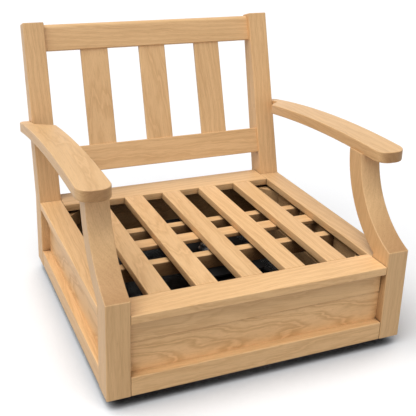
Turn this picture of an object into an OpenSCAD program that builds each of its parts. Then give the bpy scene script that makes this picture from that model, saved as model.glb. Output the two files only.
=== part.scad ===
// Swivel club chair: a bare slatted hardwood frame on a boxed base that hides a steel swivel.
// Lengths are in millimetres. While a piece is drawn, x runs to the right, y runs backwards from
// the front posts' front faces and z runs up from the lower edge of the boxed base. placed() then
// stands the whole chair on z = 0 with its box centred over the origin.

/* [Overall] */
// Width over the outer faces of the posts
frame_w = 720; // [640:5:860]
// Distance from the front faces of the front posts to those of the back posts
seat_d = 626; // [560:1:700]
// Height of the boxed base up to the top of the seat deck
deck_h = 190; // [170:1:240]
// Air between the boxed base and the floor
floor_gap = 25; // [20:1:60]

/* [Front posts] */
// Width of a front post across the chair
front_post_w = 53; // [46:1:60]
// Depth of the square block at the foot of a front post
front_post_d = 60; // [52:1:70]
// Height of the crease above the seat deck, where the swept blade leaves the block
crease_rise = 35; // [10:1:60]
// Radius of the hollow front face of the swept blade
sweep_r = 217; // [160:1:260]
// Thickness of the swept blade
blade_t = 49; // [34:1:60]
// How far in front of the block the centre of the sweep lies
sweep_lead = 73; // [40:1:90]

/* [Back posts] */
// Width of a back post at the seat deck
back_post_w = 57; // [46:0.1:66]
// Depth of a back post below the seat deck
back_post_d = 61; // [52:1:76]
// Height of a back post above the seat deck
back_post_rise = 460; // [400:1:520]
// Lean of the front face of a back post
post_lean = 16.3; // [10:0.1:24]
// Thickness of a back post at its tip
tip_t = 39.8; // [24:0.1:50]
// Narrowing of a back post on its inner side, from the deck to the tip
post_taper = 1; // [0:0.5:12]

/* [Back] */
// Lean of the back's rails and slats beyond that of the posts
back_extra_lean = 1.4; // [0:0.1:2]
// Set-back of the back from the front face of the posts at the deck
back_set = 3.3; // [1:0.1:8]
// Height of each back rail
back_rail_h = 72; // [50:1:80]
// Thickness of each back rail
back_rail_t = 18; // [14:1:20]
// Distance up the back from the deck to the lower rail
lower_rail_up = 66.5; // [40:0.5:100]
// Distance up the back from the deck to the top rail
top_rail_up = 402; // [360:1:410]
// Radius of the rounded upper front edge of the top rail
top_rail_round = 12; // [4:1:16]
// Radius of the rounded upper front edge of the lower rail
lower_rail_round = 3; // [1:0.5:6]
// Width of a back slat
back_slat_w = 76.5; // [50:0.5:90]
// Thickness of a back slat
back_slat_t = 11; // [8:1:13]
// Distance between the middles of neighbouring back slats
back_slat_pitch = 168; // [120:1:190]
// Set-back of the back slats from the front of their rails
back_slat_set = 4; // [2:0.5:5]

/* [Arms] */
// Thickness of an arm
arm_t = 26.5; // [18:0.5:34]
// Height of the arm's crest above the seat deck
arm_crest_rise = 250.5; // [220:0.5:280]
// Distance of the arm's crest behind the front posts' front faces
arm_crest_y = 178; // [100:1:250]
// Radius of the arch of an arm
arm_arch_r = 3050; // [2000:10:6000]
// How far an arm stands out beyond the posts
arm_over = 29; // [20:1:40]
// Width of an arm at its front end
arm_front_w = 75.5; // [60:0.5:90]
// Width of an arm in front of the back post
arm_rear_w = 75; // [60:0.5:96]
// Distance of the arm's front end behind the front posts' front faces
arm_front_y = 77; // [40:1:100]
// Radius of the outer corner of the arm's front end
arm_nose_r = 33; // [16:1:38]
// Radius of the inner corner of the arm's front end
arm_nose_inner_r = 30; // [10:1:36]
// How far the arm's rear end reaches past the front line of the back post
arm_tail = 96; // [76:1:130]
// Radius of the outer corner of the arm's rear end
arm_tail_r = 15; // [6:1:20]
// Clear space between the arm's notch and the back post at the arm's height
arm_notch_gap = 22.5; // [10:0.5:40]
// Length of the slanting wall of the notch along the chair
arm_notch_run = 50; // [20:1:70]

/* [Seat deck] */
// Thickness of the deck's boards
deck_t = 20; // [16:1:26]
// Distance of the rear edge of the deck's front rail behind the posts' front faces
deck_front_rear = 74; // [66:0.1:100]
// Set-back of the deck's front rail from the front posts' front faces
deck_front_set = 1; // [0:0.5:10]
// Width of the part of the deck's back rail that lies in front of the back posts
deck_back_lip = 38; // [16:0.1:50]
// Number of seat slats
seat_slats = 5; // [5:1:5]
// Width of a seat slat
seat_slat_w = 52; // [40:1:70]

/* [Boxed base] */
// Height of the upper rails of the box
upper_rail_h = 52; // [40:1:64]
// Height of the lower rails of the box
lower_rail_h = 45.7; // [36:0.1:60]
// Set-back of the upper rails from the posts' outer faces
upper_rail_set = 18.6; // [10:0.1:24]
// Thickness of the upper rails
upper_rail_t = 20; // [18:1:24]
// Set-back of the lower rails from the posts' outer faces
lower_rail_set = 1; // [0:0.5:8]
// Set-back of the panels from the posts' outer faces
panel_set = 22; // [21:0.5:26]
// Thickness of the panels
panel_t = 12; // [8:0.5:12]
// Width of a corner brace across its grain
brace_w = 45; // [30:1:60]

/* [Under the seat] */
// Distance of the swivel's axis behind the front posts' front faces
swivel_y = 345; // [300:1:380]
// Distance of each bearer's middle from the swivel's axis
bearer_spread = 89; // [70:1:110]
// Width of a bearer
bearer_w = 24; // [20:1:60]
// Height of a bearer
bearer_h = 38; // [30:1:44]
// Space between the bearers and the seat slats
bearer_drop = 7; // [4:1:12]
// Width of the batten under the middle of the seat slats
batten_w = 40; // [30:1:80]
// Thickness of that batten
batten_t = 12; // [10:1:24]

/* [Joinery] */
// Length of the tenons in the posts
tenon_l = 18; // [10:1:20]
// Thickness of the tenons
tenon_t = 8; // [6:0.5:10]
// Length of the short tenons of slats, bearers and batten
stub_l = 10; // [6:1:12]
// Depth of the grooves that hold the panels and the deck
groove_d = 8; // [5:1:10]
// Shoulder left above and below a tenon
shoulder = 7; // [4:1:10]
// Glue space round tenons, tongues and panels
glue_gap = 0.2; // [0.1:0.05:0.4]

/* [Swivel] */
// Size of the upper swivel plate across the chair
plate_w = 217; // [200:1:260]
// Size of the upper swivel plate along the chair
plate_d = 280; // [250:1:300]
// Thickness of both swivel plates
plate_t = 4; // [3:0.5:6]
// Radius of the round lower swivel plate
lower_plate_r = 90; // [75:1:105]
// Radius of the circle on which the bearing balls run
track_r = 55; // [45:1:65]
// Radius of a bearing ball
ball_r = 5; // [4:0.5:6]
// Depth of the ball track in each plate
track_depth = 1.5; // [1:0.1:1.8]
// Clearance of the balls in their tracks and in the cage
ball_gap = 0.1; // [0.05:0.05:0.2]
// Number of bearing balls
balls = 20; // [12:1:24]
// Radius of the pivot bolt
bolt_r = 6; // [5:0.5:8]
// Running clearance of the pivot bolt in its bush
bolt_gap = 0.05; // [0.02:0.01:0.1]
// Play between the pivot's washer and the bush
end_play = 0.3; // [0.2:0.05:0.5]

/* [Swivel base] */
// Radius of the floor ring, to the middle of its bar
ring_r = 236; // [200:1:250]
// Radius of the floor ring's round bar
bar_r = 8; // [6:0.5:10]
// Height of the glides under the floor ring's bar
glide_h = 4; // [3:0.5:8]
// Radius of a glide
glide_r = 13; // [11:0.5:16]
// Width of a base arm
base_arm_w = 38; // [30:1:50]
// Thickness of a base arm
base_arm_t = 6; // [4:0.5:8]
// Inner radius of the bend at a base arm's shoulder
bend_r = 10; // [6:1:20]

/* [Hidden] */
$fa = 3;
$fs = 0.4;
cut = 1;
fine = 1440;
smooth = 360;
hardwood = [0.80, 0.58, 0.36];
hardwood_dark = [0.70, 0.48, 0.28];
black_steel = [0.09, 0.09, 0.10];
zinc = [0.75, 0.76, 0.78];
nylon = [0.90, 0.89, 0.85];
bronze = [0.66, 0.52, 0.30];

half_w = frame_w / 2;
deck_under = deck_h - deck_t;
front_in = half_w - front_post_w;
back_in = half_w - back_post_w;
back_rear = seat_d + back_post_d;
box_inner = upper_rail_set + upper_rail_t;
side_in = half_w - box_inner;

// Front posts: the sweep's centre is set so that the hollow face starts at the crease.
crease_z = deck_h + crease_rise;
sweep_z = crease_z + sqrt(sweep_r * sweep_r - sweep_lead * sweep_lead);
blade_mid_y = sweep_r + blade_t / 2 - sweep_lead;

// Back posts and the plane of the back.
post_tip = [seat_d + back_post_rise * tan(post_lean), deck_h + back_post_rise];
post_tip_rear = post_tip + tip_t * [cos(post_lean), -sin(post_lean)];
depth = post_tip_rear[0];
back_lean = post_lean + back_extra_lean;
back_tenon_h = back_rail_h - 2 * shoulder;

// Arms.
arm_out = half_w + arm_over;
arm_crest_z = deck_h + arm_crest_rise;
arm_tail_y = seat_d + arm_tail;
arm_notch_y = post_front_y(arm_top_z(arm_tail_y) - arm_t) - arm_notch_gap;
arm_tenon_w = 28;
arm_tenon_d = 22;
arm_tenon_l = 10;
arm_screw_set = 26;
arm_screw_y = post_front_y(arm_top_z(arm_tail_y) - arm_t) + arm_screw_set;
arm_screw_apart = 22;
arm_screw_r = 3;
arm_plug_r = 6;
arm_plug_t = 9;
function arm_top_z(y) = arm_crest_z + sqrt(pow(arm_arch_r, 2) - pow(y - arm_crest_y, 2)) - arm_arch_r;
function post_front_y(z) = seat_d + (z - deck_h) * tan(post_lean);
function post_inner_x(z) = back_in + post_taper * (z - deck_h) / back_post_rise;

// Seat deck.
deck_back_front = seat_d - deck_back_lip;
slat_gap = (2 * back_in - seat_slats * seat_slat_w) / (seat_slats + 1);
slat_pitch = seat_slat_w + slat_gap;
deck_tenon_set = 14;
side_tenon_set = 15;
side_tenon_w = 25;
tenon_clear = 5;

// Under the seat, from the slats down to the floor.
batten_set = 3;
batten_y = swivel_y - batten_set;
slat_screw_r = 2.2;
slat_screw_l = 28;
plate_screw_r = 4;
plate_screw_l = 34;
plate_screw_head_r = 7;
plate_screw_head_h = 5.5;
plate_screw_edge = 24;
bearer_top = deck_under - bearer_drop;
plate_top = bearer_top - bearer_h;
plate_under = plate_top - plate_t;
ball_z = plate_under + track_depth - ball_r;
lower_plate_top = ball_z + track_depth - ball_r;
lower_plate_under = lower_plate_top - plate_t;
floor_z = -floor_gap;
ring_z = floor_z + glide_h + bar_r;
plate_corner_r = 14;
bush_r = bolt_r + 3;
bush_flange_r = bush_r + 5;
bush_flange_t = 1.5;
washer_r = 15;
washer_t = 2.2;
washer_z = plate_top + bush_flange_t + end_play;
nut_r = 11;
nut_h = 10;
bolt_end = 2;
bolt_head_h = 7.5;
cage_t = 3;
cage_rim = 3;
brace_clear = 2;
base_arms = 4;

// Stands the chair on the floor, centred over the origin.
module placed() translate([0, -depth / 2, floor_gap]) children();

// A straight block between two opposite corners, grown by g on every side.
module block(low, high, g = 0)
    translate([low[0] - g, low[1] - g, low[2] - g])
        cube([high[0] - low[0] + 2 * g, high[1] - low[1] + 2 * g, high[2] - low[2] + 2 * g]);

// Extrudes an outline drawn in (y, z) across the chair, from x to x + w.
module across(x, w) translate([x, 0, 0]) rotate([90, 0, 90]) linear_extrude(w) children();

// The piece and its twin on the other side.
module both_sides() {
    children();
    mirror([1, 0, 0]) children();
}

// Turns the origin to the foot of the back: z runs up the back and y runs through it.
module on_back_plane() translate([0, seat_d + back_set, deck_h]) rotate([-back_lean, 0, 0]) children();

// Sides of the box: x runs along the side from one post to the next and y runs inwards.
module on_front() translate([-front_in, 0, 0]) children();
module on_back() translate([back_in, back_rear, 0]) rotate([0, 0, 180]) children();
module on_right() translate([half_w, front_post_d, 0]) rotate([0, 0, 90]) children();
front_run = 2 * front_in;
back_run = 2 * back_in;
side_run = seat_d - front_post_d;

// A bolt or screw axis that leaves the swivel's centre at the given angle and distance.
module about_swivel() translate([0, swivel_y, 0]) children();
module plate_screw_places()
    about_swivel() for (x = [-1, 1], y = [-1, 1])
        translate([x * (plate_w / 2 - plate_screw_edge), y * bearer_spread, 0]) children();

// Boxed base: each side has an upper rail, a panel in grooves and a lower rail.

module upper_rail_tenon(run, g = 0)
    block([-tenon_l, upper_rail_set + (upper_rail_t - tenon_t) / 2, deck_under - upper_rail_h + 2 * shoulder],
        [run + tenon_l, upper_rail_set + (upper_rail_t + tenon_t) / 2, deck_under - 2 * shoulder], g);

module upper_rail_tongue(run, g = 0)
    block([0, upper_rail_set + (upper_rail_t - tenon_t) / 2, deck_under - cut],
        [run, upper_rail_set + (upper_rail_t + tenon_t) / 2, deck_under + groove_d], g);

module lower_rail_tenon(run, g = 0) {
    middle = (lower_rail_set + box_inner) / 2;
    block([-tenon_l, middle - tenon_t / 2, shoulder],
        [run + tenon_l, middle + tenon_t / 2, lower_rail_h - groove_d - shoulder], g);
}

module panel(run, g = 0)
    block([-groove_d, panel_set, lower_rail_h - groove_d],
        [run + groove_d, panel_set + panel_t, deck_under - upper_rail_h + groove_d], g);

module upper_rail(run) color(hardwood) difference() {
    union() {
        block([0, upper_rail_set, deck_under - upper_rail_h], [run, box_inner, deck_under]);
        upper_rail_tenon(run);
        upper_rail_tongue(run);
    }
    panel(run, glue_gap);
}

module lower_rail(run) color(hardwood) difference() {
    union() {
        block([0, lower_rail_set, 0], [run, box_inner, lower_rail_h]);
        lower_rail_tenon(run);
    }
    panel(run, glue_gap);
}

// Everything of a side of the box that is let into its posts.
module side_housings(run) {
    upper_rail_tenon(run, glue_gap);
    lower_rail_tenon(run, glue_gap);
    panel(run, glue_gap);
}

module front_upper_rail() on_front() upper_rail(front_run);
module front_panel() color(hardwood_dark) on_front() panel(front_run);
module front_lower_rail() on_front() lower_rail(front_run);

module back_upper_rail() on_back() upper_rail(back_run);
module back_panel() color(hardwood_dark) on_back() panel(back_run);
module back_lower_rail() on_back() lower_rail(back_run);

module right_upper_rail() color(hardwood) difference() {
    on_right() upper_rail(side_run);
    under_seat_tenons(glue_gap);
}
module right_panel() color(hardwood_dark) on_right() panel(side_run);
module right_lower_rail() on_right() lower_rail(side_run);

module left_upper_rail() mirror([1, 0, 0]) right_upper_rail();
module left_panel() mirror([1, 0, 0]) right_panel();
module left_lower_rail() mirror([1, 0, 0]) right_lower_rail();

// A brace lies across a corner of the box, just clear of the post that stands in it.
// reach is the post's size inwards along the rail, sink its size inwards across the rail.
module corner_brace(reach, sink) {
    near = reach + sink - 2 * box_inner + brace_clear;
    far = near + brace_w * sqrt(2);
    translate([0, 0, plate_top]) linear_extrude(bearer_h)
        polygon([[near, 0], [far, 0], [0, far], [0, near]]);
}
module corner_brace_front_right() color(hardwood_dark)
    translate([side_in, box_inner, 0]) mirror([1, 0, 0]) corner_brace(front_post_w, front_post_d);
module corner_brace_front_left() mirror([1, 0, 0]) corner_brace_front_right();
module corner_brace_back_right() color(hardwood_dark)
    translate([side_in, back_rear - box_inner, 0]) rotate([0, 0, 180]) corner_brace(back_post_w, back_post_d);
module corner_brace_back_left() mirror([1, 0, 0]) corner_brace_back_right();

// Seat deck: four rails round the box and the slats between them.

module deck_tenon(low, high, g = 0) {
    middle = deck_under + deck_t / 2;
    block([low[0], low[1], middle - tenon_t / 2], [high[0], high[1], middle + tenon_t / 2], g);
}
module deck_front_tenon(g = 0)
    deck_tenon([-front_in - tenon_l, deck_tenon_set],
        [front_in + tenon_l, front_post_d - tenon_l - tenon_clear], g);
module deck_side_tenon(g = 0)
    deck_tenon([half_w - side_tenon_set - side_tenon_w, front_post_d - tenon_l],
        [half_w - side_tenon_set, seat_d + tenon_l], g);
module deck_back_tenon(g = 0)
    deck_tenon([-back_in - tenon_l, seat_d + tenon_l + tenon_clear],
        [back_in + tenon_l, back_rear - upper_rail_set - tenon_clear], g);
module seat_slat_tenon(i, g = 0)
    deck_tenon([slat_x(i) - seat_slat_w / 2 + shoulder, deck_front_rear - stub_l],
        [slat_x(i) + seat_slat_w / 2 - shoulder, deck_back_front + stub_l], g);
function slat_x(i) = (i - (seat_slats + 1) / 2) * slat_pitch;

module tongues_under_deck() {
    on_front() upper_rail_tongue(front_run, glue_gap);
    on_back() upper_rail_tongue(back_run, glue_gap);
    both_sides() on_right() upper_rail_tongue(side_run, glue_gap);
}

module deck_front_rail() color(hardwood) difference() {
    union() {
        block([-front_in, deck_front_set, deck_under], [front_in, front_post_d, deck_h]);
        block([-back_in, front_post_d - cut, deck_under], [back_in, deck_front_rear, deck_h]);
        deck_front_tenon();
    }
    for (i = [1 : seat_slats]) seat_slat_tenon(i, glue_gap);
    tongues_under_deck();
}

module deck_back_rail() color(hardwood) difference() {
    union() {
        block([-back_in, deck_back_front, deck_under], [back_in, back_rear - upper_rail_set, deck_h]);
        deck_back_tenon();
    }
    for (i = [1 : seat_slats]) seat_slat_tenon(i, glue_gap);
    tongues_under_deck();
}

module deck_side_rail_right() color(hardwood) difference() {
    union() {
        block([back_in, front_post_d, deck_under], [half_w, seat_d, deck_h]);
        deck_side_tenon();
    }
    tongues_under_deck();
}
module deck_side_rail_left() mirror([1, 0, 0]) deck_side_rail_right();

module seat_slat(i) color(hardwood) difference() {
    union() {
        block([slat_x(i) - seat_slat_w / 2, deck_front_rear, deck_under],
            [slat_x(i) + seat_slat_w / 2, deck_back_front, deck_h]);
        seat_slat_tenon(i);
    }
    slat_screws();
}
module seat_slat_1() seat_slat(1);
module seat_slat_2() seat_slat(2);
module seat_slat_3() seat_slat(3);
module seat_slat_4() seat_slat(4);
module seat_slat_5() seat_slat(5);

// Outline of a front post in (y, z): the block, and the blade between two concentric arcs, cut off
// by the underside of the arm.
module front_post_outline() {
    square([front_post_d, deck_h]);
    intersection() {
        translate([-sweep_lead, sweep_z]) difference() {
            circle(r = sweep_r + blade_t, $fn = smooth);
            circle(r = sweep_r, $fn = smooth);
        }
        translate([0, deck_h - cut]) square([sweep_r + blade_t, arm_crest_z - deck_h]);
        translate([arm_crest_y, arm_crest_z - arm_arch_r]) circle(r = arm_arch_r - arm_t, $fn = fine);
    }
    difference() {
        translate([0, deck_h - cut]) square([front_post_d, crease_rise + cut]);
        translate([-sweep_lead, sweep_z]) circle(r = sweep_r + blade_t / 2, $fn = smooth);
    }
}

module arm_tenon_block(g = 0) {
    middle = [half_w - front_post_w / 2, blade_mid_y];
    block([middle[0] - arm_tenon_w / 2, middle[1] - arm_tenon_d / 2, arm_crest_z - arm_t - 2 * arm_tenon_l],
        [middle[0] + arm_tenon_w / 2, middle[1] + arm_tenon_d / 2, arm_crest_z - arm_t + arm_tenon_l], g);
}

module front_post_right() color(hardwood) difference() {
    union() {
        across(front_in, front_post_w) front_post_outline();
        arm_tenon_block();
    }
    on_front() side_housings(front_run);
    on_right() side_housings(side_run);
    deck_front_tenon(glue_gap);
    deck_side_tenon(glue_gap);
}
module front_post_left() mirror([1, 0, 0]) front_post_right();

// All that lies between the inner and outer faces of the right back post, whatever its depth.
module back_post_slab() translate([0, depth + cut, 0]) rotate([90, 0, 0]) linear_extrude(depth + 2 * cut)
    polygon([[back_in, -cut], [half_w, -cut], [half_w, post_tip[1] + cut],
        [post_inner_x(post_tip[1] + cut), post_tip[1] + cut], [back_in, deck_h]]);

// A back post before its joints are cut: its side outline, narrowed on the inside towards the tip.
module back_post_blank() intersection() {
    across(back_in - cut, back_post_w + 2 * cut) polygon([[seat_d, 0], [back_rear, 0], [back_rear, deck_h],
        post_tip_rear, post_tip, [seat_d, deck_h]]);
    back_post_slab();
}

module back_rail_tenons(up, g = 0) {
    span = back_in + tenon_l + post_taper;
    on_back_plane() block([-span, (back_rail_t - tenon_t) / 2, up + shoulder],
        [span, (back_rail_t + tenon_t) / 2, up + shoulder + back_tenon_h], g);
}

module back_post_right() color(hardwood) difference() {
    back_post_blank();
    on_back() side_housings(back_run);
    on_right() side_housings(side_run);
    deck_side_tenon(glue_gap);
    deck_back_tenon(glue_gap);
    back_rail_tenons(lower_rail_up, glue_gap);
    back_rail_tenons(top_rail_up, glue_gap);
    arm_screws_right();
    arm_plug_bores();
}
module back_post_left() mirror([1, 0, 0]) back_post_right();

module back_slat(i, g = 0) on_back_plane()
    block([i * back_slat_pitch - back_slat_w / 2, back_slat_set, lower_rail_up + back_rail_h - stub_l],
        [i * back_slat_pitch + back_slat_w / 2, back_slat_set + back_slat_t, top_rail_up + stub_l], g);

// Section of a rail of the back, with its upper front edge rounded.
module back_rail_section(up, round_r) intersection() {
    translate([0, up]) square([back_rail_t, back_rail_h]);
    union() {
        translate([0, up]) square([back_rail_t, back_rail_h - round_r]);
        translate([round_r, up]) square([back_rail_t - round_r, back_rail_h]);
        translate([round_r, up + back_rail_h - round_r]) circle(r = round_r);
    }
}

// A rail of the back: its ends are cut to the tapering inner faces of the posts, and the slats
// are let into it.
module back_rail(up, round_r) color(hardwood) difference() {
    union() {
        difference() {
            on_back_plane() across(cut - half_w, frame_w - 2 * cut) back_rail_section(up, round_r);
            both_sides() back_post_slab();
        }
        back_rail_tenons(up);
    }
    for (i = [-1 : 1]) back_slat(i, glue_gap);
}
module top_back_rail() back_rail(top_rail_up, top_rail_round);
module lower_back_rail() back_rail(lower_rail_up, lower_rail_round);

module back_slat_left() color(hardwood) back_slat(-1);
module back_slat_middle() color(hardwood) back_slat(0);
module back_slat_right() color(hardwood) back_slat(1);

// Outline of the right arm in plan, clockwise from the inner corner of the rounded front end.
module arm_plan() {
    front_x = arm_out - arm_front_w;
    rear_x = arm_out - arm_rear_w;
    union() {
        polygon([[front_x, arm_front_y + arm_nose_inner_r], [front_x + arm_nose_inner_r, arm_front_y],
            [arm_out - arm_nose_r, arm_front_y], [arm_out, arm_front_y + arm_nose_r],
            [arm_out, arm_tail_y - arm_tail_r], [arm_out - arm_tail_r, arm_tail_y],
            [half_w, arm_tail_y], [half_w, arm_notch_y],
            [rear_x, arm_notch_y - arm_notch_run]]);
        translate([front_x + arm_nose_inner_r, arm_front_y + arm_nose_inner_r]) circle(r = arm_nose_inner_r);
        translate([arm_out - arm_nose_r, arm_front_y + arm_nose_r]) circle(r = arm_nose_r);
        intersection() {
            translate([arm_out - arm_tail_r, arm_tail_y - arm_tail_r]) circle(r = arm_tail_r);
            translate([half_w, 0]) square([arm_over, arm_tail_y]);
        }
    }
}

// The arch of an arm in (y, z): the ring between two large circles, over the arm's own length.
module arm_arch() intersection() {
    translate([arm_crest_y, arm_crest_z - arm_arch_r]) difference() {
        circle(r = arm_arch_r, $fn = fine);
        circle(r = arm_arch_r - arm_t, $fn = fine);
    }
    square([arm_tail_y + cut, arm_crest_z + cut]);
}

module arm_right() color(hardwood) difference() {
    intersection() {
        linear_extrude(arm_crest_z + cut) arm_plan();
        across(0, arm_out + cut) arm_arch();
    }
    arm_tenon_block(glue_gap);
    arm_screws_right();
}
module arm_left() mirror([1, 0, 0]) arm_right();

// Screws that hold the rear end of the right arm: each goes from a plugged bore in the inner face
// of the back post, outwards into the arm.
module arm_screw_places() for (side = [-1, 1]) {
    y = arm_screw_y + side * arm_screw_apart / 2;
    z = arm_top_z(y) - arm_t / 2;
    translate([post_inner_x(z) + arm_plug_t, y, z]) rotate([0, 90, 0]) children();
}
module arm_screws_right() arm_screw_places()
    wood_screw(arm_screw_r, half_w + arm_over / 2 - back_in - arm_plug_t);
module arm_plug_bores() arm_screw_places()
    translate([0, 0, -arm_plug_t - post_taper]) cylinder(r = arm_plug_r, h = arm_plug_t + post_taper);

// A countersunk screw that points along z, its head's flat face at z = 0.
module wood_screw(r, l) {
    cylinder(r1 = 2 * r, r2 = r, h = r);
    cylinder(r = r, h = l);
}

module arm_screws() color(zinc) both_sides() arm_screws_right();
module arm_plugs() color(hardwood_dark) both_sides() intersection() {
    arm_plug_bores();
    back_post_slab();
}

// Under the seat: a batten that carries the middles of the slats, and two bearers that carry the
// chair on its swivel. All three are let into the upper rails of the box's sides.
module middle_batten_tenon(g = 0)
    block([-side_in - stub_l, batten_y - batten_w / 2 + shoulder, deck_under - batten_t * 3 / 4],
        [side_in + stub_l, batten_y + batten_w / 2 - shoulder, deck_under - batten_t / 4], g);
module bearer_tenon(y, g = 0)
    block([-side_in - stub_l, y - tenon_t / 2, plate_top + shoulder],
        [side_in + stub_l, y + tenon_t / 2, bearer_top - shoulder], g);
module under_seat_tenons(g = 0) {
    middle_batten_tenon(g);
    for (side = [-1, 1]) bearer_tenon(swivel_y + side * bearer_spread, g);
}

module middle_batten() color(hardwood_dark) difference() {
    union() {
        block([-side_in, batten_y - batten_w / 2, deck_under - batten_t],
            [side_in, batten_y + batten_w / 2, deck_under]);
        middle_batten_tenon();
    }
    slat_screws();
}

module bearer(y) color(hardwood_dark) difference() {
    union() {
        block([-side_in, y - bearer_w / 2, plate_top], [side_in, y + bearer_w / 2, bearer_top]);
        bearer_tenon(y);
    }
    plate_screws();
}
module front_bearer() bearer(swivel_y - bearer_spread);
module rear_bearer() bearer(swivel_y + bearer_spread);

module slat_screws() color(zinc) for (i = [1 : seat_slats])
    translate([slat_x(i), batten_y, deck_under - batten_t]) wood_screw(slat_screw_r, slat_screw_l);

// Swivel: the upper plate turns with the chair on a ring of balls, round a bolt that stands in
// the lower plate.
module plate_screws() color(zinc) plate_screw_places() {
    translate([0, 0, plate_under - plate_screw_head_h])
        cylinder(r = plate_screw_head_r, h = plate_screw_head_h, $fn = 6);
    translate([0, 0, plate_under - cut]) cylinder(r = plate_screw_r, h = plate_screw_l + cut);
}

module ball_track() about_swivel() translate([0, 0, ball_z])
    rotate_extrude() translate([track_r, 0]) circle(r = ball_r + ball_gap);

module ball_places() about_swivel() for (i = [0 : balls - 1])
    rotate(i * 360 / balls) translate([track_r, 0, ball_z]) children();

module swivel_upper_plate() color(black_steel) difference() {
    about_swivel() translate([0, 0, plate_under]) linear_extrude(plate_t) plate_outline();
    ball_track();
    about_swivel() translate([0, 0, plate_under - cut]) cylinder(r = bush_r, h = plate_t + 2 * cut);
    plate_screw_places() translate([0, 0, plate_under - cut])
        cylinder(r = plate_screw_r, h = plate_t + 2 * cut);
}

// The upper plate's outline, with rounded corners.
module plate_outline() {
    square([plate_w - 2 * plate_corner_r, plate_d], center = true);
    square([plate_w, plate_d - 2 * plate_corner_r], center = true);
    for (x = [-1, 1], y = [-1, 1])
        translate([x * (plate_w / 2 - plate_corner_r), y * (plate_d / 2 - plate_corner_r)])
            circle(r = plate_corner_r);
}

module pivot_bush() color(bronze) about_swivel() difference() {
    union() {
        translate([0, 0, plate_under]) cylinder(r = bush_r, h = plate_t);
        translate([0, 0, plate_top]) cylinder(r = bush_flange_r, h = bush_flange_t);
    }
    translate([0, 0, plate_under - cut])
        cylinder(r = bolt_r + bolt_gap, h = plate_t + bush_flange_t + 2 * cut);
}

module pivot_washer() color(zinc) about_swivel() translate([0, 0, washer_z]) difference() {
    cylinder(r = washer_r, h = washer_t);
    translate([0, 0, -cut]) cylinder(r = bolt_r + 2 * bolt_gap, h = washer_t + 2 * cut);
}

module pivot_nut() color(zinc) about_swivel() translate([0, 0, washer_z + washer_t]) difference() {
    cylinder(r = nut_r, h = nut_h, $fn = 6);
    translate([0, 0, -cut]) cylinder(r = bolt_r, h = nut_h + 2 * cut);
}

module pivot_bolt() color(zinc) about_swivel() {
    translate([0, 0, lower_plate_under - bolt_head_h]) cylinder(r = nut_r, h = bolt_head_h, $fn = 6);
    translate([0, 0, lower_plate_under - cut])
        cylinder(r = bolt_r, h = washer_z + washer_t + nut_h + bolt_end - lower_plate_under + cut);
}

module ball_cage() color(nylon) difference() {
    about_swivel() translate([0, 0, ball_z - cage_t / 2]) difference() {
        cylinder(r = track_r + ball_r + cage_rim, h = cage_t);
        translate([0, 0, -cut]) cylinder(r = track_r - ball_r - cage_rim, h = cage_t + 2 * cut);
    }
    ball_places() translate([0, 0, -cage_t]) cylinder(r = ball_r + ball_gap, h = 2 * cage_t);
}

module bearing_balls() color(zinc) ball_places() sphere(r = ball_r);

module swivel_lower_plate() color(black_steel) difference() {
    about_swivel() translate([0, 0, lower_plate_under]) difference() {
        cylinder(r = lower_plate_r, h = plate_t);
        translate([0, 0, -cut]) cylinder(r = bolt_r, h = plate_t + 2 * cut);
    }
    ball_track();
}

// Swivel base: four bent arms are welded to the lower plate and to a ring that stands on glides.
module ring_bar() about_swivel() translate([0, 0, ring_z])
    rotate_extrude() translate([ring_r, 0]) circle(r = bar_r);

// Side outline of a base arm: a level stretch under the plate, a bend, and a leg down to the ring.
module base_arm_outline() {
    leg_in = ring_r - base_arm_t / 2;
    bend_x = leg_in - bend_r;
    bend_z = lower_plate_under - base_arm_t - bend_r;
    translate([base_arm_w, lower_plate_under - base_arm_t]) square([bend_x - base_arm_w, base_arm_t]);
    translate([leg_in, ring_z]) square([base_arm_t, bend_z - ring_z]);
    translate([bend_x, bend_z]) intersection() {
        difference() {
            circle(r = bend_r + base_arm_t);
            circle(r = bend_r);
        }
        square(bend_r + base_arm_t);
    }
}

module base_arm(i) color(black_steel) difference() {
    about_swivel() rotate((i - 1) * 360 / base_arms) translate([0, base_arm_w / 2, 0]) rotate([90, 0, 0])
        linear_extrude(base_arm_w) base_arm_outline();
    ring_bar();
}
module base_arm_1() base_arm(1);
module base_arm_2() base_arm(2);
module base_arm_3() base_arm(3);
module base_arm_4() base_arm(4);

module floor_ring() color(black_steel) ring_bar();

module glides() color(nylon) difference() {
    about_swivel() for (i = [1 : base_arms]) rotate((i - 0.5) * 360 / base_arms)
        translate([ring_r, 0, floor_z]) cylinder(r = glide_r, h = glide_h + bar_r);
    ring_bar();
}

placed() front_post_left();
placed() front_post_right();
placed() back_post_left();
placed() back_post_right();
placed() arm_left();
placed() arm_right();
placed() top_back_rail();
placed() lower_back_rail();
placed() back_slat_left();
placed() back_slat_middle();
placed() back_slat_right();
placed() deck_front_rail();
placed() deck_back_rail();
placed() deck_side_rail_left();
placed() deck_side_rail_right();
placed() seat_slat_1();
placed() seat_slat_2();
placed() seat_slat_3();
placed() seat_slat_4();
placed() seat_slat_5();
placed() front_upper_rail();
placed() front_panel();
placed() front_lower_rail();
placed() back_upper_rail();
placed() back_panel();
placed() back_lower_rail();
placed() left_upper_rail();
placed() left_panel();
placed() left_lower_rail();
placed() right_upper_rail();
placed() right_panel();
placed() right_lower_rail();
placed() corner_brace_front_left();
placed() corner_brace_front_right();
placed() corner_brace_back_left();
placed() corner_brace_back_right();
placed() middle_batten();
placed() front_bearer();
placed() rear_bearer();
placed() slat_screws();
placed() arm_screws();
placed() arm_plugs();
placed() plate_screws();
placed() swivel_upper_plate();
placed() pivot_bush();
placed() pivot_bolt();
placed() pivot_washer();
placed() pivot_nut();
placed() ball_cage();
placed() bearing_balls();
placed() swivel_lower_plate();
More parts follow.
